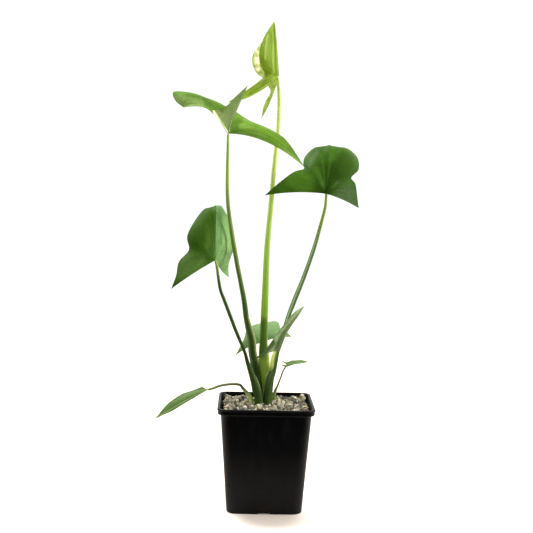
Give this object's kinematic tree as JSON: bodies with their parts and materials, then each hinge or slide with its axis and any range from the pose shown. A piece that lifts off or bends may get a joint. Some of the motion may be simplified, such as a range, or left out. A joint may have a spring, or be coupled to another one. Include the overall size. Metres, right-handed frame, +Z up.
{
  "type": "potted broadleaf arrowhead plant",
  "caption": "Bog plant with arrow-shaped leaves on tall curved stalks, rising from one crown in a square nursery pot topped with grit.",
  "frame": {"origin": "on the floor, in the middle of the pot's flat base", "axes": "+Z up, -Y towards the pot's front, +X to the right seen from the front"},
  "size_m": [0.1885, 0.1404, 0.4571],
  "materials": {
    "pot_plastic": "satin",
    "soil": "matte",
    "grit": "matte",
    "young_stalk": "satin",
    "young_blade": "satin",
    "green_stalk": "satin",
    "green_blade": "satin",
    "pale_stalk": "satin",
    "pale_blade": "satin"
  },
  "bodies": {
    "root": {"pot": "pot_plastic", "potting_soil": "soil", "grit_top_dressing": "grit", "tall_leaf_stalk": "young_stalk", "tall_leaf_blade": "young_blade", "upper_left_leaf_stalk": "green_stalk", "upper_left_leaf_blade": "green_blade", "right_leaf_stalk": "green_stalk", "right_leaf_blade": "green_blade", "middle_left_leaf_stalk": "green_stalk", "middle_left_leaf_blade": "green_blade", "rear_leaf_stalk": "pale_stalk", "rear_leaf_blade": "pale_blade", "inner_leaf_stalk": "pale_stalk", "inner_leaf_blade": "pale_blade", "low_left_leaf_stalk": "pale_stalk", "low_left_leaf_blade": "pale_blade", "small_right_leaf_stalk": "pale_stalk", "small_right_leaf_blade": "pale_blade"}
  },
  "joints": []
}
